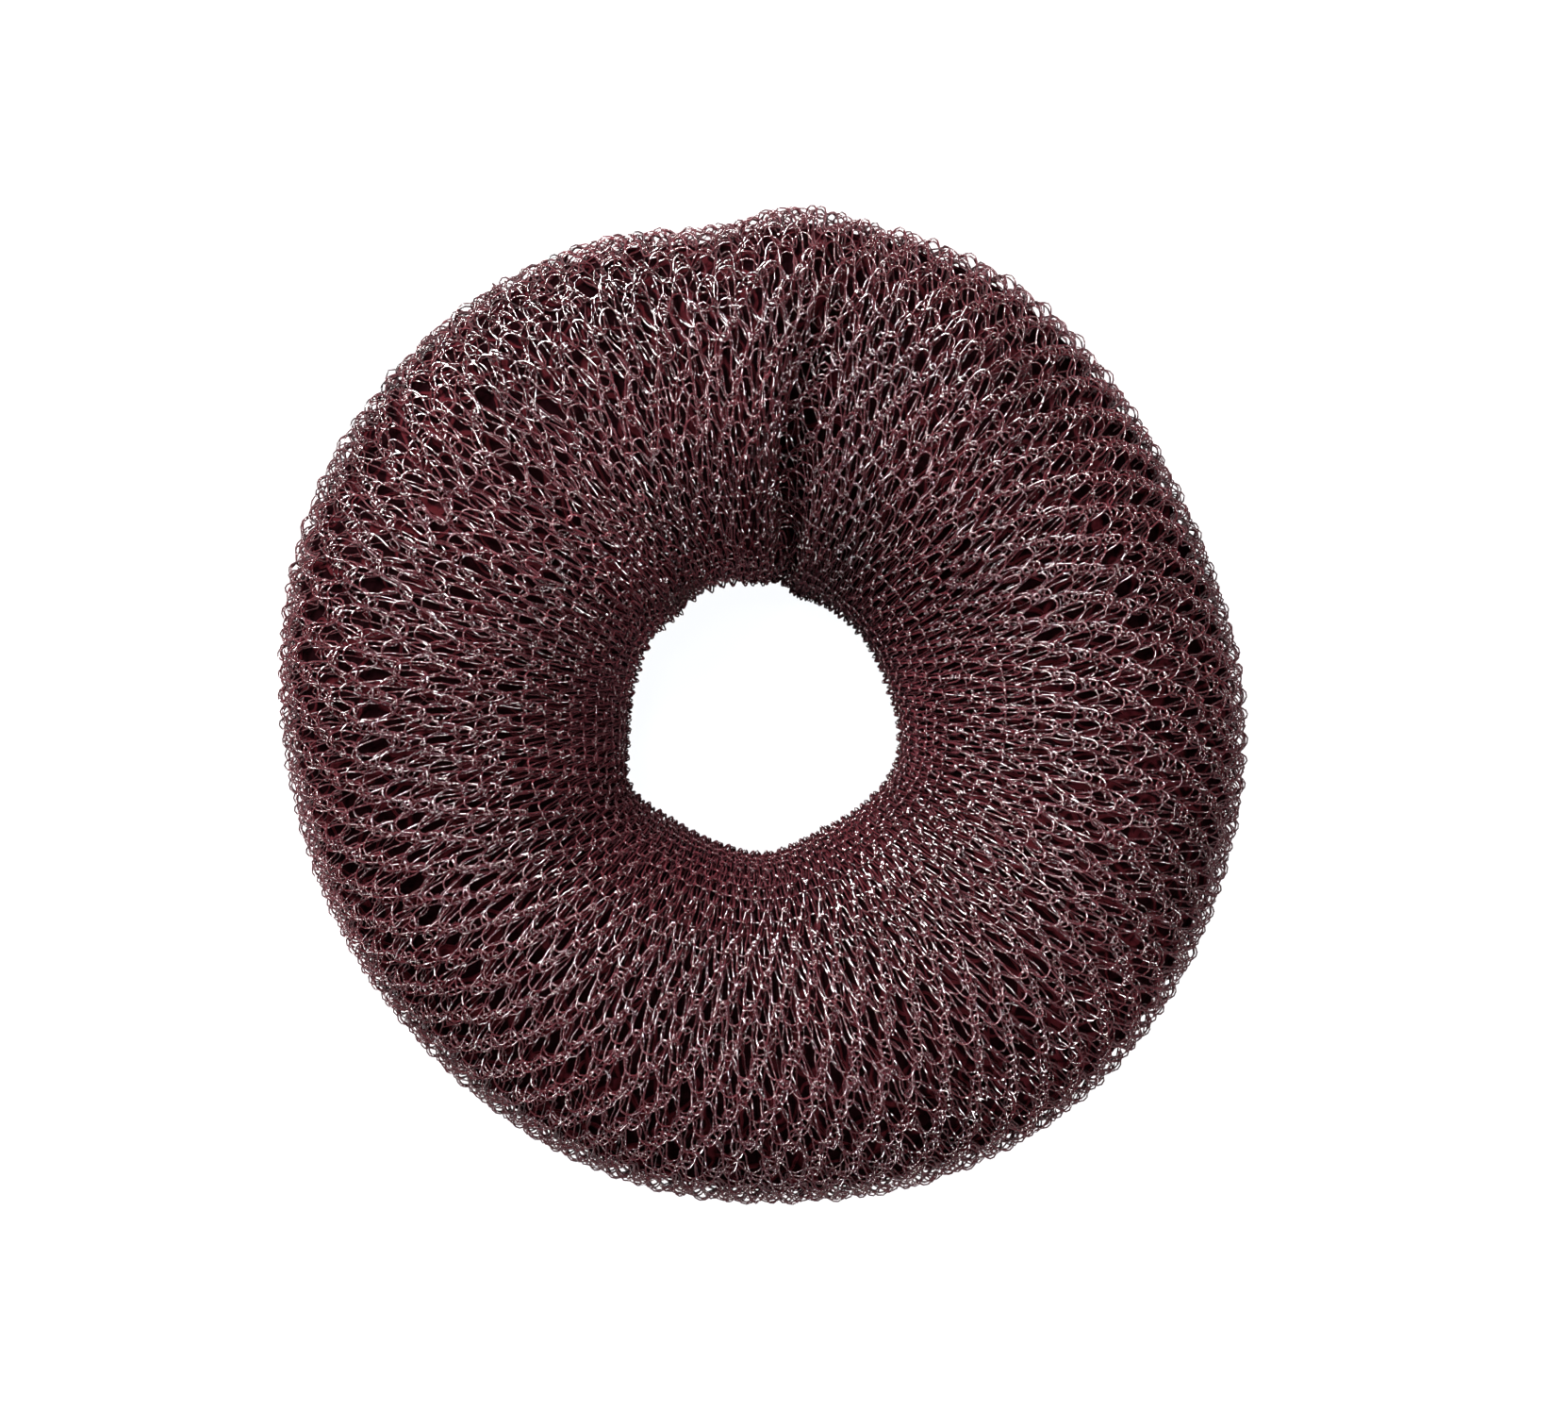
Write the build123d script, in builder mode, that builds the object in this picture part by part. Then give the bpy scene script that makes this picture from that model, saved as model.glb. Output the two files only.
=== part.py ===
"""A hair bun maker: a knitted mesh tube rolled up into a soft ring that lies flat on a table.

The ring's axis is +Z and passes through the middle of the hole. The ring rests on the plane Z = 0.
The crease where the two ends of the mesh strip meet points along +Y. All lengths are in millimetres.
"""

import math
import os

from build123d import *

os.makedirs("parts", exist_ok=True)

# The whole ring, as means round it
outer_diameter = 90.0
hole_diameter = 24.7
ring_height = 33.0

# The last turn of the knitted mesh, which lies outside
mesh_wall = 1.8

# The turns under it, and the least width that they leave open in the middle of the roll
roll_wall = 1.7
roll_hollow = 5.0

# The air between one turn and the next
turn_gap = 0.4

# How far resting on a table presses the round underside flat
rest_press = 0.5

# The ring's shape, section by section round it. The angle is in degrees from +X towards +Y.
# reach is a share of the mean outer radius, hole of the mean hole radius, rise of the mean height.
# The round starts and ends at the first row, on the low side of the crease, and the next row is
# the crease's crest. The widest hole is the corner that the hole has at the lower left.
ring_sections = [
    {"angle": 80.0, "reach": 1.030, "hole": 0.955, "rise": 0.940},
    {"angle": 87.5, "reach": 1.040, "hole": 0.985, "rise": 0.985},
    {"angle": 95.0, "reach": 1.005, "hole": 0.988, "rise": 1.015},
    {"angle": 106.0, "reach": 1.020, "hole": 1.025, "rise": 1.030},
    {"angle": 128.0, "reach": 1.040, "hole": 1.010, "rise": 1.020},
    {"angle": 148.0, "reach": 1.030, "hole": 1.015, "rise": 1.005},
    {"angle": 172.0, "reach": 1.000, "hole": 1.005, "rise": 1.005},
    {"angle": 192.0, "reach": 0.977, "hole": 1.045, "rise": 1.010},
    {"angle": 209.0, "reach": 0.972, "hole": 1.130, "rise": 1.000},
    {"angle": 226.0, "reach": 0.973, "hole": 1.055, "rise": 0.985},
    {"angle": 254.0, "reach": 0.994, "hole": 1.022, "rise": 0.995},
    {"angle": 272.0, "reach": 0.999, "hole": 1.025, "rise": 1.000},
    {"angle": 290.0, "reach": 1.012, "hole": 0.970, "rise": 1.005},
    {"angle": 316.0, "reach": 1.017, "hole": 0.985, "rise": 1.010},
    {"angle": 341.0, "reach": 0.994, "hole": 1.035, "rise": 0.995},
    {"angle": 3.0, "reach": 0.980, "hole": 0.975, "rise": 0.985},
    {"angle": 22.0, "reach": 0.962, "hole": 0.930, "rise": 0.980},
    {"angle": 44.0, "reach": 0.990, "hole": 0.930, "rise": 0.985},
    {"angle": 64.0, "reach": 1.026, "hole": 0.926, "rise": 0.965},
]


def section_plane(section):
    """The upright plane through the ring's axis at a section: x points outwards, y points up."""
    turn = math.radians(section["angle"])
    outwards = Vector(math.cos(turn), math.sin(turn), 0)
    return Plane(origin=(0, 0, 0), x_dir=outwards, z_dir=outwards.cross(Vector(0, 0, 1)))


def section_oval(section):
    """The oval of the ring at a section: how far out and how high its middle lies, and its half
    width and half height. It reaches below the table by what resting presses flat."""
    outer = section["reach"] * outer_diameter / 2
    inner = section["hole"] * hole_diameter / 2
    top = section["rise"] * ring_height
    return (outer + inner) / 2, (top - rest_press) / 2, (outer - inner) / 2, (top + rest_press) / 2


def wall_profile(section):
    """The last turn at a section: an oval wall, one mesh wall thick."""
    across, up, half_width, half_height = section_oval(section)
    with BuildSketch(section_plane(section)) as profile:
        with Locations((across, up)):
            Ellipse(half_width, half_height)
            Ellipse(half_width - mesh_wall, half_height - mesh_wall, mode=Mode.SUBTRACT)
    return profile.sketch


# The roll inside: how far it stays inside the ring's oval, how much its spiral closes in each half
# turn, and how many half turns the narrowest section has room for
roll_inset = mesh_wall + turn_gap
half_pitch = (roll_wall + turn_gap) / 2
narrowest = min(min(section_oval(section)[2:]) for section in ring_sections)
half_turns = int((narrowest - roll_inset - roll_wall - roll_hollow / 2) / half_pitch)


def spiral_line(across, up, half_width, half_height):
    """A spiral of half ovals that starts at the hole side. Each half oval is half a pitch smaller
    than the one before, so they join without a kink. Gives the spiral's two end points."""
    crossings = [across - (-1) ** turn * (half_width - turn * half_pitch) for turn in range(half_turns + 1)]
    for turn, (begin, end) in enumerate(zip(crossings, crossings[1:])):
        EllipticalCenterArc(
            ((begin + end) / 2, up),
            abs(end - begin) / 2,
            half_height - (turn + 0.5) * half_pitch,
            start_angle=180 if begin < end else 0,
            arc_size=180,
        )
    return (crossings[0], up), (crossings[-1], up)


def roll_profile(section):
    """The turns inside at a section: a band between two like spirals, closed at its two ends."""
    across, up, half_width, half_height = section_oval(section)
    outside = half_width - roll_inset, half_height - roll_inset
    inside = outside[0] - roll_wall, outside[1] - roll_wall
    with BuildSketch(section_plane(section)) as profile:
        with BuildLine():
            outside_ends = spiral_line(across, up, *outside)
            inside_ends = spiral_line(across, up, *inside)
            for outside_end, inside_end in zip(outside_ends, inside_ends):
                Line(outside_end, inside_end)
        make_face()
    return profile.sketch


def closed_round(profile_of):
    """The profiles of all sections with the first one again at the end, which closes a loft."""
    profiles = [profile_of(section) for section in ring_sections]
    return profiles + profiles[:1]


# The last turn of the mesh: a hollow ring, flat underneath where it rests
with BuildPart() as outer_turn:
    loft(sections=closed_round(wall_profile))
    split(bisect_by=Plane.XY, keep=Keep.TOP)

# The turns under it: one band wound in a spiral, hollow in the middle
with BuildPart() as inner_roll:
    loft(sections=closed_round(roll_profile))

outer_turn.part.label = "outer_turn"
inner_roll.part.label = "inner_roll"

for piece in (outer_turn.part, inner_roll.part):
    export_step(piece, f"parts/{piece.label}.step")
    box = piece.bounding_box()
    print(f"{piece.label}: {box.size.X:.1f} x {box.size.Y:.1f} x {box.size.Z:.1f} mm", end=", ")
    print(f"lowest {box.min.Z:.2f} mm, volume {piece.volume / 1000:.1f} cm3")

print(f"The roll has {half_turns} half turns.")
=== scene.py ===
# %% [markdown]
# # A rolled mesh bun maker, dressed in its thread
#
# The real thing is a tube of nylon net, knitted from fine glossy thread and rolled up on itself like a
# sock cuff until it is a soft ring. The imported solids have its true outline, its crease and its hole.
# What they lack is the thread. A picture of a net on a smooth ring would look flat at the rim, where
# the real loops stand out one by one. So the net of the four outer turns is modelled here as thread,
# turn under turn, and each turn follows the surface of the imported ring.

import bpy
import numpy as np
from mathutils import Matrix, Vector


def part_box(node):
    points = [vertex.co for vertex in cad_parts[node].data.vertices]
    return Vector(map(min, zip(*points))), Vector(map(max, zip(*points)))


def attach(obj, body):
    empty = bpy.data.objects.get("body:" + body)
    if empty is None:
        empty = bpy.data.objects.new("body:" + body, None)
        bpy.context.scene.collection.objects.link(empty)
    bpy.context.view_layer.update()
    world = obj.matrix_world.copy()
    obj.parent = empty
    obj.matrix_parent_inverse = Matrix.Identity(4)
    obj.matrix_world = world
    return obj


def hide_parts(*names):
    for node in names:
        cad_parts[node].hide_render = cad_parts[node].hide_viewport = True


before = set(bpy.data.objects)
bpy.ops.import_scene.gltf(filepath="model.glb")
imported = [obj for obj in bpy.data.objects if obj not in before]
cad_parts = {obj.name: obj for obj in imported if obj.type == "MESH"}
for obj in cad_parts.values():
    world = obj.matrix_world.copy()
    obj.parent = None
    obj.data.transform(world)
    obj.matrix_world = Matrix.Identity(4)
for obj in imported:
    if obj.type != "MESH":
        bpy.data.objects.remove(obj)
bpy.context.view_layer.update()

MM = 0.001
TURN = 2 * np.pi
print("packed nodes:", sorted(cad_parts))

# %% [markdown]
# ## Camera
# The photo looks straight down the ring's axis: hole and outline share one middle. The ring's scale in
# it is known at the widest level, half way up, so the lens follows from the distance.

# %% Camera
IMAGE_WIDE, IMAGE_HIGH = 1663, 1512
MIDDLE_ACROSS, MIDDLE_DOWN = 811, 758
PIXEL = 0.0868 * MM
CAMERA_DISTANCE = 0.70
SENSOR = 36.0

lowest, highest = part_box("outer_turn")
half_height = (highest[2] - lowest[2]) / 2
lens = bpy.data.cameras.new("camera")
lens.sensor_width = SENSOR
lens.lens = SENSOR * CAMERA_DISTANCE / (IMAGE_WIDE * PIXEL)
camera = bpy.data.objects.new("camera", lens)
camera.location = (
    (IMAGE_WIDE / 2 - MIDDLE_ACROSS) * PIXEL,
    (MIDDLE_DOWN - IMAGE_HIGH / 2) * PIXEL,
    half_height + CAMERA_DISTANCE,
)
bpy.context.collection.objects.link(camera)
bpy.context.scene.camera = camera
print(f"lens {lens.lens:.0f} mm, {CAMERA_DISTANCE:.2f} m above the ring")

# %% [markdown]
# ## The ring's surface as numbers
# Thread can be laid on a surface once any point of it can be asked for by two shares: how far round the
# ring, and how far round its section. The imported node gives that: a torus grid a little larger than the
# ring is wrapped onto it by Blender's Shrinkwrap, and its points are read back. Fast Fourier transforms
# then keep only the slow waves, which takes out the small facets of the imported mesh.

# %% A grid that closes both ways
def torus_points(middle_radius, tube_radius, level, rounds, sections):
    """Torus: ((R + r cos b) cos a, (R + r cos b) sin a, level + r sin b), a along the rows, b along
    the columns, both going once round."""
    a, b = np.meshgrid(
        TURN * np.arange(rounds) / rounds, TURN * np.arange(sections) / sections, indexing="ij"
    )
    out = middle_radius + tube_radius * np.cos(b)
    return np.stack([out * np.cos(a), out * np.sin(a), level + tube_radius * np.sin(b)], -1)


def closed_grid_faces(rows, columns):
    """Four-cornered faces between the neighbours of a grid that closes on itself both ways."""
    row, column = np.meshgrid(np.arange(rows), np.arange(columns), indexing="ij")
    below, beside = (row + 1) % rows, (column + 1) % columns
    corners = [
        row * columns + column,
        below * columns + column,
        below * columns + beside,
        row * columns + beside,
    ]
    return np.stack(corners, -1).reshape(-1, 4)


def mesh_object(name, points, faces):
    """An object at the origin whose mesh has these points and four-cornered faces, shaded smooth."""
    mesh = bpy.data.meshes.new(name)
    mesh.vertices.add(len(points))
    mesh.vertices.foreach_set("co", np.ascontiguousarray(points, np.float32).ravel())
    mesh.loops.add(faces.size)
    mesh.loops.foreach_set("vertex_index", np.ascontiguousarray(faces, np.int32).ravel())
    mesh.polygons.add(len(faces))
    mesh.polygons.foreach_set("loop_start", np.arange(0, faces.size, 4, dtype=np.int32))
    mesh.polygons.foreach_set("use_smooth", np.ones(len(faces), bool))
    mesh.update(calc_edges=True)
    made = bpy.data.objects.new(name, mesh)
    bpy.context.collection.objects.link(made)
    return made


def store_map(piece, name, u0, u1, v0, v1):
    """A UV map in which each face's four corners, in order, lie at (u0, v0), (u0, v1), (u1, v1) and
    (u1, v0)."""
    ends = (u0, v0), (u0, v1), (u1, v1), (u1, v0)
    corners = np.stack([np.stack(np.broadcast_arrays(u, v), -1) for u, v in ends], -2)
    layer = piece.data.uv_layers.new(name=name)
    layer.uv.foreach_set("vector", np.ascontiguousarray(corners, np.float32).ravel())


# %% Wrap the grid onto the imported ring
ROUNDS, SECTIONS = 720, 128
ROOM = 1.12
RING_WAVES = 56, 12


def wrapped_grid(node):
    """The surface of a ring-shaped node, as a grid of points: rows round the ring, columns round its
    section, from the rim over the top to the hole and back underneath."""
    low, high = (np.array(corner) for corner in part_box(node))
    rim_radius = (high - low)[:2].mean() / 2
    tube_radius = (high - low)[2] / 2
    level = low[2] + tube_radius
    start = torus_points(rim_radius - tube_radius, ROOM * tube_radius, level, ROUNDS, SECTIONS)
    wrapper = mesh_object("wrapper", start.reshape(-1, 3), closed_grid_faces(ROUNDS, SECTIONS))
    wrap = wrapper.modifiers.new("wrap", "SHRINKWRAP")
    wrap.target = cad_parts[node]
    wrap.wrap_method = "PROJECT"
    wrap.use_negative_direction = True
    wrap.use_positive_direction = False
    wrapped = wrapper.evaluated_get(bpy.context.evaluated_depsgraph_get()).data
    points = np.empty(len(wrapped.vertices) * 3, np.float32)
    wrapped.vertices.foreach_get("co", points)
    bpy.data.objects.remove(wrapper)
    return points.reshape(ROUNDS, SECTIONS, 3).astype(float)


def slow_waves(grid, round_waves, section_waves):
    """The grid with only its slow waves: those with at most so many crests round each way."""
    spectrum = np.fft.fft2(grid, axes=(0, 1))
    spectrum[np.abs(np.fft.fftfreq(ROUNDS, 1 / ROUNDS)) > round_waves] = 0
    spectrum[:, np.abs(np.fft.fftfreq(SECTIONS, 1 / SECTIONS)) > section_waves] = 0
    return np.fft.ifft2(spectrum, axes=(0, 1)).real


def unit(vectors):
    """The same directions with length one."""
    return vectors / np.linalg.norm(vectors, axis=-1, keepdims=True)


def outward_normals(grid):
    """Normal of a grid: the slope round the ring crossed with the slope round the section."""
    round_slope = np.roll(grid, -1, 0) - np.roll(grid, 1, 0)
    section_slope = np.roll(grid, -1, 1) - np.roll(grid, 1, 1)
    return unit(np.cross(round_slope, section_slope))


ring = slow_waves(wrapped_grid("outer_turn"), *RING_WAVES)
ring_normals = outward_normals(ring)
girth = np.linalg.norm(np.roll(ring, -1, 1) - ring, axis=-1).sum(1).mean()
print(f"the ring's section is {girth / MM:.1f} mm round")


# %% Ask the surface for any point
def look_up(table, a, b):
    """Value of a table at shares a round the ring and b round the section: the four entries about
    each place, weighted by how near they are."""
    row, column = (a % 1) * table.shape[0], (b % 1) * table.shape[1]
    r0, c0 = np.floor(row).astype(int), np.floor(column).astype(int)
    fr, fc = (row - r0)[..., None], (column - c0)[..., None]
    r0, c0 = r0 % table.shape[0], c0 % table.shape[1]
    r1, c1 = (r0 + 1) % table.shape[0], (c0 + 1) % table.shape[1]
    near = table[r0, c0] * (1 - fc) + table[r0, c1] * fc
    far = table[r1, c0] * (1 - fc) + table[r1, c1] * fc
    return near * (1 - fr) + far * fr


# %% [markdown]
# ## The net
# Seen close, the net repeats every two rows of stitches. In the first row narrow loops hang from the
# knots with their closed end towards the rim, and between each two knots a short arc of thread sags. In
# the second row wider loops part to the two knots beside them, so each row's knots lie half a wale off
# those of the row before. A wale is a column of stitches, here running round the ring's section.
#
# Real yarn could be simulated, but a pattern of waves is exact, fast and repeats without a seam. Each
# kind of strand is one closed wavy line round the ring, with a steady walk along its row and
#
# - a sway along the row, three waves that round the loop's closed end and narrow its neck,
# - a rise and fall across the row, one wave, which makes the loop,
# - a wave in and out of the net, which lets crossing threads pass and spreads the glints.
#
# At the hole the wales crowd together and the loops stand narrow and upright. At the rim they spread
# and open. So each kind has its sway for narrow wales and for wide ones.

# %% Sizes of the net
WALES = 70
ROWS = 30
THREAD = 0.20 * MM
# start: where the strand begins, in wales; middle and half: its loops' level and half height, in rows;
# sway: for narrow and wide wales, in wales; depth: steady, once and twice a stitch, in mm
STRANDS = {
    "hanging loop": dict(
        start=0.0,
        middle=0.50,
        half=0.60,
        sway=((0.028, -0.058), (0.070, 0.075), (0.008, 0.002)),
        depth=(0.0, 0.17, 0.34),
    ),
    "arc": dict(
        start=0.0,
        middle=0.20,
        half=0.27,
        sway=((0.030, 0.045), (0.035, 0.045), (0.0, 0.0)),
        depth=(0.13, 0.20, 0.18),
    ),
    "slanting loop": dict(
        start=0.5,
        middle=1.49,
        half=0.60,
        sway=((0.0, 0.045), (0.060, 0.055), (0.0, 0.0)),
        depth=(-0.05, 0.14, 0.30),
    ),
}
# how far the knots and the crowns of loops stand in and out, for narrow and for wide wales
RELIEF = (0.16 * MM, 0.34 * MM)
# widths of a wale: up to the first, in mm, it is narrow, and from the second on it is wide
NARROW, WIDE = 1.4, 2.9
# wales narrower than this press the turns of the net together
FREE_WALE = 2.4 * MM
row_spacing = girth / ROWS
wale_spacing = np.linalg.norm(np.roll(ring, -1, 0) - ring, axis=-1)[..., None] * ROUNDS / WALES
print(f"rows lie {row_spacing / MM:.2f} mm apart")
print(f"wales lie {wale_spacing.min() / MM:.1f} to {wale_spacing.max() / MM:.1f} mm apart")

# %% [markdown]
# ## Unevenness
# A net as even as a drawing looks like chain mail. The real one is pulled about: whole patches of
# stitches lean, single stitches slip, and left of the crease the cloth is tangled into a curly lobe.
# Chance values with a fixed seed do the same, some for each stitch and some changing slowly.

# %% Unevenness
# places in degrees round the ring, against the clock from its right side
CREASE, LOBE, LOWER_LEFT = 82.5, 127, 240
# spreads of the chance values, for slow patches and for single stitches: loops lean, slip along and
# across their row, in stitches, and lift off the net
LEAN = 0.05, 0.045
SLIP_ALONG = 0.05, 0.05
SLIP_ACROSS = 0.05, 0.04
LIFT = 0.06 * MM, 0.06 * MM
# whole rows drift along and across, single loops are taller or lower, and the dye has lighter and
# darker stitches
DRIFT_ALONG, DRIFT_ACROSS = 0.06, 0.05
TALLER = 0.06
TONE = 0.5
dice = np.random.default_rng(20)


def dice_field(amount):
    """A chance value for each stitch, with this spread."""
    return dice.normal(0, amount, (ROWS, WALES, 1))


def slow_dice_field(amount, row_waves=4, wale_waves=12):
    """A chance value that changes slowly from stitch to stitch: only its slow waves are kept."""
    spectrum = np.fft.fft2(dice.normal(0, 1, (ROWS, WALES)))
    spectrum[np.abs(np.fft.fftfreq(ROWS, 1 / ROWS)) > row_waves] = 0
    spectrum[:, np.abs(np.fft.fftfreq(WALES, 1 / WALES)) > wale_waves] = 0
    field = np.fft.ifft2(spectrum).real
    return (amount * field / field.std())[..., None]


def patches_and_stitches(slow, single):
    """Both together: a slow chance value of the cloth and one of each stitch for itself."""
    return slow_dice_field(slow) + dice_field(single)


def row_dice_field(amount):
    """A chance value of each row for itself, which changes slowly along it."""
    return slow_dice_field(amount, row_waves=ROWS, wale_waves=5)


def smooth_look_up(field, row, wale):
    """Value between stitches: as look_up, with the shares eased by 3f^2 - 2f^3 so no kinks show."""
    r, w = np.floor(row), np.floor(wale)
    fr, fw = row - r, wale - w
    eased_row = r + fr * fr * (3 - 2 * fr)
    eased_wale = w + fw * fw * (3 - 2 * fw)
    return look_up(field, eased_row / field.shape[0], eased_wale / field.shape[1])[..., 0]


def bump_round(round_share, angle, spread):
    """A smooth hill round the ring: e^(-(d / spread)^2), d the difference in degrees from an angle."""
    difference = (round_share * 360 - angle + 180) % 360 - 180
    return np.exp(-(difference / spread) ** 2)


def tangle(round_share):
    """How tangled the net is: most in the lobe left of the crease, least at the lower left, where the
    rolled cloth lies flat."""
    in_lobe, lies_flat = bump_round(round_share, LOBE, 34), bump_round(round_share, LOWER_LEFT, 45)
    return 0.8 + 1.9 * in_lobe - 0.2 * lies_flat


# %% [markdown]
# ## Gathered cloth
# Where the two ends of the knitted strip meet, the cloth is gathered: its wales crowd together, and
# it sinks into a fold that lies in its own shade. Wales could be squeezed by hand, but a density
# round the ring is safer: its running sum says where each wale lies, so none is cut or doubled.
# The fold is a depth taken off along the normal. The shade, which the lamps alone leave too
# bright, is painted shade: the thread's colour is made darker there.

# %% Gathered cloth beside the crease
# most crowded a little right of the crease, and slightly in the lobe
fine_share = np.arange(7200) / 7200
wale_density = 1 + 0.38 * bump_round(fine_share, 77, 9) + 0.06 * bump_round(fine_share, 125, 26)
wale_count = np.concatenate([[0], np.cumsum(wale_density)])
wale_count = wale_count / wale_count[-1] * WALES


def wale_to_share(wale):
    """Share of the way round at which a wale lies: the sum of the wale density, read backwards."""
    turns = np.floor(wale / WALES)
    return turns + np.interp(wale - turns * WALES, wale_count, np.arange(7201) / 7200)


def ramp(share, start, end):
    """0 before the start, 1 past the end, and straight between them."""
    return np.clip((share - start) / (end - start), 0, 1)


def valley(round_share, share):
    """Depth by which the cloth sinks beside the crease: a narrow fold on the hole's side, in a wide
    shallow dip."""
    share = share % 1
    fold = bump_round(round_share, CREASE, 3.4) * ramp(share, 0.14, 0.28) * ramp(share, 0.53, 0.43)
    dip = bump_round(round_share, 73, 9) * ramp(share, 0.02, 0.16) * ramp(share, 0.52, 0.40)
    return 2.8 * MM * fold + 1.0 * MM * dip


# how many steps of tone the thread's colour is made darker in the deepest painted shade
SHADE = 2.2


def depth_of_shade(round_share, share):
    """How near to black the net is painted: right of the crease, on the hole's side, it lies in its own
    shade, and there its colour is made darker as painted shade."""
    share = share % 1
    return bump_round(round_share, 66, 20) * ramp(share, 0.27, 0.40) * ramp(share, 0.75, 0.60)


OUTER_INSET = 0.46 * MM
# at the rim the turns lie closer by the first share, within the second share of the section
RIM_CLOSENESS, RIM_SPREAD = 0.42, 0.09


def turn_depth(inset, share):
    """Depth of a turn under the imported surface: the turns lie closer together at the rim."""
    from_rim = np.abs((share + 0.5) % 1 - 0.5)
    closer = RIM_CLOSENESS * np.exp(-(from_rim / RIM_SPREAD) ** 2)
    return OUTER_INSET + (inset - OUTER_INSET) * (1 - closer)


print("most stitches per degree where the cloth is gathered:", round(wale_density.max(), 2), "times")

# %% The strands of one turn of the net
KINDS = list(STRANDS.values()) * (ROWS // 2)


def of_kind(key, *place):
    """A column with this value for each strand of a turn."""
    values = [kind[key] for kind in KINDS]
    for step in place:
        values = [value[step] for value in values]
    return np.array(values)[:, None]


def mean_over_stitch(values, points_per_stitch):
    """Each value's mean over one stitch before it, so that nothing jumps from stitch to stitch."""
    sums = np.cumsum(np.concatenate([values[:, -points_per_stitch:], values], 1), 1)
    return (sums[:, points_per_stitch:] - sums[:, :-points_per_stitch]) / points_per_stitch


def turn_of_thread(points_per_stitch, inset, start_wale, start_row):
    """Centre line of each strand, the outward normal at each of its points, and its tone: the dye's chance
    tone, lowered by painted shade beside the crease.
    """
    phase = TURN * np.arange(WALES * points_per_stitch)[None, :] / points_per_stitch
    walk = phase / TURN + of_kind("start")
    row = np.repeat(2 * np.arange(ROWS // 2), len(STRANDS))[:, None] - of_kind("middle") + 0 * phase
    middle = wale_to_share(walk + start_wale)
    wild = tangle(middle)

    def uneven(field, across, along):
        return smooth_look_up(field, across, along) * wild

    width = look_up(wale_spacing, middle, (row + start_row) / ROWS)[..., 0]
    width = width / np.interp(middle % 1, fine_share, wale_density)
    stretch = mean_over_stitch(ramp(width / MM, NARROW, WIDE), points_per_stitch)
    tightness = np.clip(width / FREE_WALE, 0.5, 1.0)

    sway = 0
    for wave in range(3):
        narrow, wide = of_kind("sway", wave, 0), of_kind("sway", wave, 1)
        sway = sway + (narrow + (wide - narrow) * stretch) * np.sin((wave + 1) * phase)
    fall = of_kind("half") * np.cos(phase) * (1 + uneven(dice_field(TALLER), row, walk))
    wale = walk + sway
    across = row - fall

    wale = wale + smooth_look_up(row_dice_field(DRIFT_ALONG), across, wale)
    across = across + smooth_look_up(row_dice_field(DRIFT_ACROSS), across, wale)
    lean = patches_and_stitches(*LEAN)
    wale = wale + uneven(patches_and_stitches(*SLIP_ALONG), across, wale)
    wale = wale - fall * uneven(lean, row, wale)
    across = across + uneven(patches_and_stitches(*SLIP_ACROSS), across, wale)

    round_share = wale_to_share(wale + start_wale)
    share = (across + start_row) / ROWS
    wave = sum(of_kind("depth", number) * np.cos(number * phase) for number in range(3)) * MM
    relief = RELIEF[0] + (RELIEF[1] - RELIEF[0]) * stretch
    relief = -relief * np.cos(TURN * wale) * np.cos(np.pi * across)
    lift = uneven(patches_and_stitches(*LIFT), across, wale)
    out = wave * (0.4 + 0.6 * tightness) + relief + lift
    out = out - turn_depth(inset, share) * tightness - valley(round_share, share)

    normals = look_up(ring_normals, round_share, share)
    points = look_up(ring, round_share, share) + out[..., None] * normals
    points[..., 2] = np.maximum(points[..., 2], THREAD / 2 + 0.02 * MM)
    tone = uneven(dice_field(TONE), row, walk) + uneven(slow_dice_field(TONE), across, wale)
    # painted shade: the tone is lowered where the net lies in its own shade beside the crease
    tone = tone - SHADE * depth_of_shade(round_share, share)
    return points, unit(normals), tone


print(f"each turn has {len(KINDS)} strands of {WALES} stitches")

# %% [markdown]
# ## Thread with a thickness
# A round thread is a small ring of corners carried along its centre line. The ring is set up at each
# point from the thread's own direction and the surface's normal, so no curve object or bevel is needed
# and a whole turn of the net, some hundred thousand faces, is made in one go. The threads are so fine
# that three corners do: what shows is their glint, and that comes from the smooth shading.
#
# Each thread carries a map of its own length and girth for the twist, a flat lay-out of all its faces
# for baking, and a tone for its colour: a chance tone of the dye, with painted shade beside the crease.

# %% Tubes round centre lines
def tubes(points, normals, radius, sides):
    """Corner = centre + radius (cos q up + sin q side), where up is the normal made square to the
    thread and side is square to both. Lines close on themselves along the second axis."""
    ahead = unit(np.roll(points, -1, 1) - np.roll(points, 1, 1))
    up = unit(normals - (normals * ahead).sum(-1, keepdims=True) * ahead)
    side = np.cross(ahead, up)
    q = TURN * np.arange(sides) / sides
    round_up, round_side = np.cos(q)[:, None], np.sin(q)[:, None]
    return points[:, :, None] + radius * (round_up * up[:, :, None] + round_side * side[:, :, None])


def tube_faces(lines, steps, sides):
    """Faces of closed tubes, turned outwards: this step, next corner, next step, this corner."""
    line, step, corner = np.meshgrid(
        np.arange(lines), np.arange(steps), np.arange(sides), indexing="ij"
    )
    here = (line * steps + step) * sides
    ahead = (line * steps + (step + 1) % steps) * sides
    next_corner = (corner + 1) % sides
    return np.stack([here + corner, here + next_corner, ahead + next_corner, ahead + corner], -1)


FOLDS = 5


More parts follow.
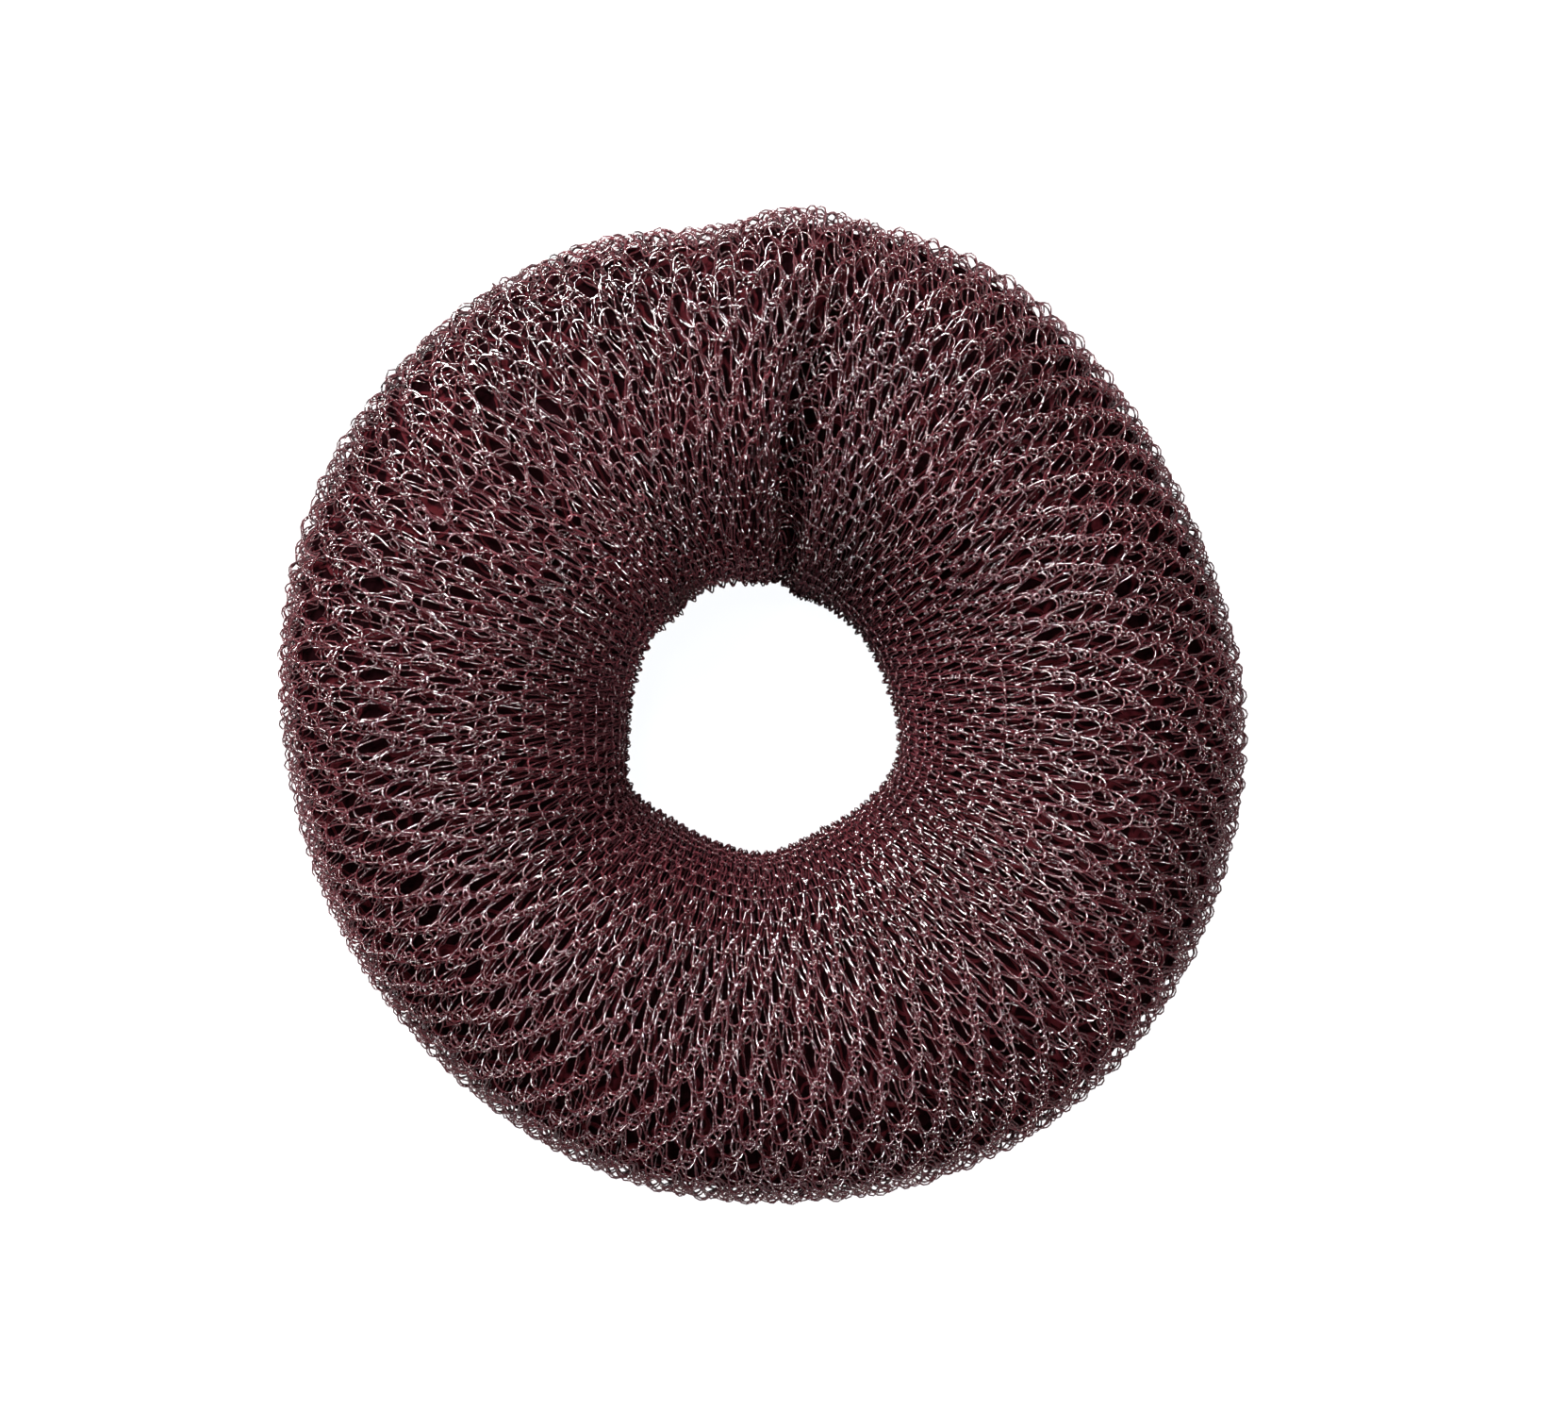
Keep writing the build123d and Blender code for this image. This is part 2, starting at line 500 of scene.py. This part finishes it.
def thread_object(name, points, normals, tone, sides):
    """One mesh with the tubes of these lines. Its map "thread" holds the way along the thread in mm
    and the share of the way round it. Its map "OFBake" lays every line flat, folded into a few rows."""
    corners = tubes(points, normals, THREAD / 2, sides)
    lines, steps = points.shape[:2]
    made = mesh_object(name, corners.reshape(-1, 3), tube_faces(lines, steps, sides).reshape(-1, 4))

    length = np.linalg.norm(np.roll(points, -1, 1) - points, axis=-1)[..., None] / MM
    way = np.cumsum(length, 1)
    side = np.arange(sides)
    store_map(made, "thread", way - length, way, side / sides, (side + 1) / sides)

    line, step, side = np.meshgrid(
        np.arange(lines), np.arange(steps), np.arange(sides), indexing="ij"
    )
    fold = -(-steps // FOLDS)
    row = line * FOLDS + step // fold
    low, high = 0.1 + 0.8 * side / sides, 0.1 + 0.8 * (side + 1) / sides
    along = (step % fold + 1) / (fold + 2)
    bake_rows = lines * FOLDS
    low, high = (row + low) / bake_rows, (row + high) / bake_rows
    store_map(made, "OFBake", along, along + 1 / (fold + 2), low, high)

    made.data.attributes.new("tone", "FLOAT", "POINT")
    made.data.attributes["tone"].data.foreach_set("value", np.repeat(tone, sides).astype(np.float32))
    triangles = 2 * len(made.data.polygons)
    print(f"{name}: {lines} strands, {triangles} triangles, {way[:, -1].sum() / 1000:.1f} m of thread")
    return made


# %% [markdown]
# ## The finish
# The thread is clear nylon dyed a deep burgundy: nearly black where it lies in shade, nearly white
# where a lamp glints on it. The dye is uneven, in patches, in single stitches and in flecks, and the
# thread is lightly twisted and worn, so its glints are not all alike. Beside the crease the dye group
# also darkens the thread as painted shade. Both effects are groups of nodes, which each material takes with
# its own values.

# %% Building blocks for shaders
def new_group(name, inputs, outputs):
    """An empty shader group with these number or colour sockets, and its own input and output nodes."""
    group = bpy.data.node_groups.new(name, "ShaderNodeTree")
    for label, value in inputs.items():
        kind = "NodeSocketColor" if isinstance(value, tuple) else "NodeSocketFloat"
        group.interface.new_socket(label, in_out="INPUT", socket_type=kind).default_value = value
    for label, kind in outputs.items():
        group.interface.new_socket(label, in_out="OUTPUT", socket_type=kind)
    return group, group.nodes.new("NodeGroupInput").outputs, group.nodes.new("NodeGroupOutput").inputs


def add(tree, kind, inputs, **settings):
    """A node with these settings, each of whose inputs takes a link from a socket, or a value."""
    node = tree.nodes.new(kind)
    for key, value in settings.items():
        setattr(node, key, value)
    for key, value in inputs.items():
        if isinstance(value, bpy.types.NodeSocket):
            tree.links.new(value, node.inputs[key])
        else:
            node.inputs[key].default_value = value
    return node


def math(tree, operation, first, second=0.0):
    """The result of a math node."""
    return add(tree, "ShaderNodeMath", {0: first, 1: second}, operation=operation).outputs["Value"]


def noise(tree, place, scale, detail):
    """The value of a noise at this place."""
    return add(tree, "ShaderNodeTexNoise", {"Vector": place, "Scale": scale, "Detail": detail}).outputs["Fac"]


def object_place(tree):
    """The place on the object, in metres."""
    return add(tree, "ShaderNodeTexCoord", {}).outputs["Object"]


# %% Uneven dye and painted shade
dye, dye_in, dye_out = new_group(
    "uneven_dye_and_painted_shade",
    {"Colour": (0.02, 0.004, 0.005, 1), "Patches": 0.15, "Flecks": 0.1, "Tone": 0.0},
    {"Colour": "NodeSocketColor"},
)
place = object_place(dye)
# Tone is the dye's chance tone, and for the thread it also holds the painted shade beside the crease
amount = math(dye, "ADD", dye_in["Tone"], 1.0)
for scale, detail, share in ((110.0, 2.0, "Patches"), (1400.0, 1.0, "Flecks")):
    swing = math(dye, "SUBTRACT", noise(dye, place, scale, detail), 0.5)
    swing = math(dye, "MULTIPLY", swing, math(dye, "MULTIPLY", dye_in[share], 4.0))
    amount = math(dye, "ADD", amount, swing)
amount = math(dye, "MAXIMUM", amount, 0.2)
dyed = add(dye, "ShaderNodeVectorMath", {0: dye_in["Colour"], "Scale": amount}, operation="SCALE")
dye.links.new(dyed.outputs["Vector"], dye_out["Colour"])
print("uneven dye:", len(dye.nodes), "nodes")

# %% Twist and wear
twist, twist_in, twist_out = new_group(
    "thread_twist",
    {"Turn Length": 0.7, "Roughness": 0.15, "Wear": 0.1},
    {"Height": "NodeSocketFloat", "Roughness": "NodeSocketFloat"},
)
thread_map = add(twist, "ShaderNodeUVMap", {}, uv_map="thread").outputs["UV"]
thread_map = add(twist, "ShaderNodeSeparateXYZ", {"Vector": thread_map}).outputs
turns = math(twist, "ADD", math(twist, "DIVIDE", thread_map["X"], twist_in["Turn Length"]), thread_map["Y"])
height = math(twist, "SINE", math(twist, "MULTIPLY", turns, TURN))
worn = math(twist, "SUBTRACT", noise(twist, object_place(twist), 420.0, 2.0), 0.45)
worn = math(twist, "ADD", twist_in["Roughness"], math(twist, "MULTIPLY", worn, twist_in["Wear"]))
twist.links.new(height, twist_out["Height"])
twist.links.new(math(twist, "MAXIMUM", worn, 0.06), twist_out["Roughness"])
print("twist and wear:", len(twist.nodes), "nodes")


# %% Nylon
def nylon(name, colour, roughness):
    """Glossy dyed thread, lightly twisted."""
    material = bpy.data.materials.new(name)
    material.use_nodes = True
    tree = material.node_tree
    shader = tree.nodes["Principled BSDF"]
    # the tone attribute brings in the dye's chance tone and the painted shade beside the crease
    tone = add(tree, "ShaderNodeAttribute", {}, attribute_name="tone").outputs["Fac"]
    tone = math(tree, "MULTIPLY", tone, 0.28)
    dyed = add(
        tree,
        "ShaderNodeGroup",
        {"Colour": (*colour, 1), "Patches": 0.16, "Flecks": 0.10, "Tone": tone},
        node_tree=dye,
    )
    twisted = add(
        tree,
        "ShaderNodeGroup",
        {"Turn Length": 0.75, "Roughness": roughness, "Wear": 0.12},
        node_tree=twist,
    )
    bump = add(
        tree,
        "ShaderNodeBump",
        {"Height": twisted.outputs["Height"], "Strength": 0.15, "Distance": 0.02 * MM},
    )
    tree.links.new(dyed.outputs["Colour"], shader.inputs["Base Color"])
    tree.links.new(twisted.outputs["Roughness"], shader.inputs["Roughness"])
    tree.links.new(bump.outputs["Normal"], shader.inputs["Normal"])
    shader.inputs["IOR"].default_value = 1.55
    shader.inputs["Sheen Weight"].default_value = 0.04
    shader.inputs["Sheen Roughness"].default_value = 0.35
    shader.inputs["Sheen Tint"].default_value = (0.85, 0.35, 0.42, 1)
    return material


outer_nylon = nylon("outer_nylon", (0.0150, 0.0022, 0.0030), 0.08)
# the deeper turns take a copy of the same thread made a little darker: painted shade
inner_nylon = nylon("inner_nylon", (0.0135, 0.0020, 0.0027), 0.10)
print("thread materials:", outer_nylon.name, inner_nylon.name)

# %% [markdown]
# Below the fourth turn nothing shows but a glimpse of deeper threads. They need no shape of their own:
# the core has one smooth skin with a net of dark lines, drawn on the core's own map and bent by noise. The
# lines stand for the deeper threads; the near-black between them, and the lines' dimness, are painted shade
# of the deep roll.

# %% The rolled core's skin
core_nylon = bpy.data.materials.new("core_nylon")
core_nylon.use_nodes = True
skin = core_nylon.node_tree
skin_shader = skin.nodes["Principled BSDF"]
net_map = add(skin, "ShaderNodeUVMap", {}, uv_map="net").outputs["UV"]
bend = {"Vector": object_place(skin), "Scale": 260.0, "Detail": 1.0}
bend = {0: add(skin, "ShaderNodeTexNoise", bend).outputs["Color"], 1: (0.5, 0.5, 0.5)}
bend = add(skin, "ShaderNodeVectorMath", bend, operation="SUBTRACT").outputs["Vector"]
bent = {0: bend, 1: (1.6, 1.6, 0.0), 2: net_map}
bent = add(skin, "ShaderNodeVectorMath", bent, operation="MULTIPLY_ADD").outputs["Vector"]
bent = add(skin, "ShaderNodeSeparateXYZ", {"Vector": bent}).outputs
half_row = math(skin, "MULTIPLY", bent["X"], 0.5)
rising = math(skin, "PINGPONG", math(skin, "ADD", bent["Y"], half_row), 0.5)
falling = math(skin, "PINGPONG", math(skin, "SUBTRACT", bent["Y"], half_row), 0.5)
nearest = math(skin, "MINIMUM", rising, falling)
line = {"Value": nearest, "From Min": 0.05, "From Max": 0.12, "To Min": 1.0, "To Max": 0.0}
line = add(skin, "ShaderNodeMapRange", line).outputs["Result"]
# painted shade of the deep roll: nearly black between the lines, and dim thread colour on them
deep = {"Factor": line, "A": (0.0012, 0.0003, 0.0004, 1), "B": (0.0095, 0.0015, 0.0020, 1)}
deep = add(skin, "ShaderNodeMix", deep, data_type="RGBA").outputs["Result"]
skin_dye = {"Colour": deep, "Patches": 0.25, "Flecks": 0.10, "Tone": 0.0}
skin_dye = add(skin, "ShaderNodeGroup", skin_dye, node_tree=dye)
skin_bump = add(skin, "ShaderNodeBump", {"Height": line, "Strength": 1.0, "Distance": 0.2 * MM})
skin.links.new(skin_dye.outputs["Colour"], skin_shader.inputs["Base Color"])
skin.links.new(skin_bump.outputs["Normal"], skin_shader.inputs["Normal"])
skin_shader.inputs["Roughness"].default_value = 0.9
skin_shader.inputs["Specular IOR Level"].default_value = 0.0
print("core skin:", len(skin.nodes), "nodes")

# %% [markdown]
# ## The turns of the net, from the outside in
# Only the outer turns can be seen through the net's holes, so four are made as thread and the rest is
# one padded core. The turns start at other wales and rows, as rolled cloth does, so the threads of one
# show in the holes of the other. Turns that lie deeper need fewer points to look round.

# %% Outer turn
def dress(piece, material, node):
    """The piece rides on the part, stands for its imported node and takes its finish."""
    piece.data.materials.append(material)
    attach(piece, "root")
    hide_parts(node)


def dress_turn(name, points_per_stitch, sides, inset, start, pieces, material, slot, node):
    """One turn of the net as so many pieces, each with its share of the strands."""
    points, normals, tone = turn_of_thread(points_per_stitch, inset, *start)
    for number, some in enumerate(np.array_split(np.arange(len(points)), pieces)):
        piece_name = f"{name}_{number + 1}" if pieces > 1 else name
        threads = thread_object(piece_name, points[some], normals[some], tone[some], sides)
        dress(threads, material, node)


outer_turn = outer_nylon, "outer_mesh", "outer_turn"
inner_roll = inner_nylon, "inner_mesh", "inner_roll"
dress_turn("outer_turn_threads", 18, 3, OUTER_INSET, (0, 0), 3, *outer_turn)

# %% Turns under it
dress_turn("second_turn_threads", 14, 3, 0.72 * MM, (0.3, 0.6), 2, *outer_turn)
# the third and fourth turns take the darker copy of the thread, as painted shade
dress_turn("third_turn_threads", 10, 3, 1.05 * MM, (0.7, 1.2), 1, *inner_roll)
dress_turn("fourth_turn_threads", 8, 3, 1.45 * MM, (0.1, 1.7), 1, *inner_roll)

# %% Core
CORE_INSET = 1.75 * MM
# the core keeps only slow waves, so it sinks more beside the crease, to stay under the threads
CORE_WAVES = 24, 6
CORE_SINK = 2.2
round_share, share = np.meshgrid(
    np.arange(ROUNDS) / ROUNDS, np.arange(SECTIONS) / SECTIONS, indexing="ij"
)
core_inset = turn_depth(CORE_INSET, share) * np.clip(wale_spacing[..., 0] / FREE_WALE, 0.5, 1)
core_inset = (core_inset + CORE_SINK * valley(round_share, share))[..., None]
core_points = slow_waves(ring - core_inset * ring_normals, *CORE_WAVES)[::3, ::2]
rows, columns = core_points.shape[:2]
core = mesh_object("rolled_core", core_points.reshape(-1, 3), closed_grid_faces(rows, columns))

row, column = np.meshgrid(np.arange(rows) / rows, np.arange(columns) / columns, indexing="ij")
next_row, next_column = row + 1 / rows, column + 1 / columns
store_map(core, "OFBake", column, next_column, row, next_row)
store_map(core, "net", column * ROWS, next_column * ROWS, row * WALES, next_row * WALES)
dress(core, core_nylon, "inner_roll")
print(f"core: {2 * len(core.data.polygons)} triangles")

# %% [markdown]
# ## Floor and light
# The photo's ground is plain white, yet hardly any of that white shows in the threads, which are lit
# by a few small strong lamps. So the floor is white to the camera and a dim warm red to the threads,
# as if the light came through their neighbours. The strongest lamps stand low at the back: they put the
# glints on the inner slope at the front and on the far rim. Small lamps keep the glints thin.

# %% Floor
floor_mesh = bpy.data.meshes.new("floor")
floor_mesh.from_pydata([(-3, -3, 0), (3, -3, 0), (3, 3, 0), (-3, 3, 0)], [], [(0, 1, 2, 3)])
floor = bpy.data.objects.new("floor", floor_mesh)
bpy.context.collection.objects.link(floor)
floor_material = bpy.data.materials.new("floor")
floor_material.use_nodes = True
floor_tree = floor_material.node_tree
floor_shader = floor_tree.nodes["Principled BSDF"]
floor_shader.inputs["Base Color"].default_value = (0.06, 0.06, 0.06, 1)
floor_shader.inputs["Roughness"].default_value = 0.9
floor_shader.inputs["Specular IOR Level"].default_value = 0.1
seen = add(floor_tree, "ShaderNodeLightPath", {}).outputs["Is Camera Ray"]
glow = {"Factor": seen, "A": (0.13, 0.08, 0.085, 1), "B": (0.96, 0.98, 1.0, 1)}
glow = add(floor_tree, "ShaderNodeMix", glow, data_type="RGBA").outputs["Result"]
floor_tree.links.new(glow, floor_shader.inputs["Emission Color"])
floor_shader.inputs["Emission Strength"].default_value = 1.0
floor_mesh.materials.append(floor_material)
print("floor made")


# %% Lamps
def softbox(name, place, size, power):
    """A square lamp that faces the ring."""
    lamp = bpy.data.lights.new(name, "AREA")
    lamp.size = size
    lamp.energy = power
    made = bpy.data.objects.new(name, lamp)
    made.location = place
    made.rotation_euler = (Vector((0, 0, 0.015)) - Vector(place)).to_track_quat("-Z", "Y").to_euler()
    bpy.context.collection.objects.link(made)


softbox("key_low", (-0.60, 0.85, 0.52), 0.22, 105)
softbox("key", (-0.45, 0.80, 0.95), 0.20, 46)
softbox("left", (-0.95, 0.40, 0.58), 0.16, 22)
softbox("top", (-0.12, 0.15, 1.30), 0.13, 6.5)
softbox("high_left", (-0.45, 0.10, 1.20), 0.12, 6.5)
softbox("high_back", (0.05, 0.50, 1.20), 0.12, 6)
softbox("right", (0.92, 0.08, 0.72), 0.14, 16)
softbox("fill", (0.50, -0.85, 0.55), 0.16, 34)
softbox("low_left", (-0.80, -0.50, 0.45), 0.16, 9)

world = bpy.data.worlds.new("studio")
bpy.context.scene.world = world
world.use_nodes = True
world.node_tree.nodes["Background"].inputs["Color"].default_value = (1.0, 0.70, 0.73, 1)
world.node_tree.nodes["Background"].inputs["Strength"].default_value = 0.30
bpy.context.scene.view_settings.view_transform = "Standard"
print("lamps:", len(bpy.data.lights))
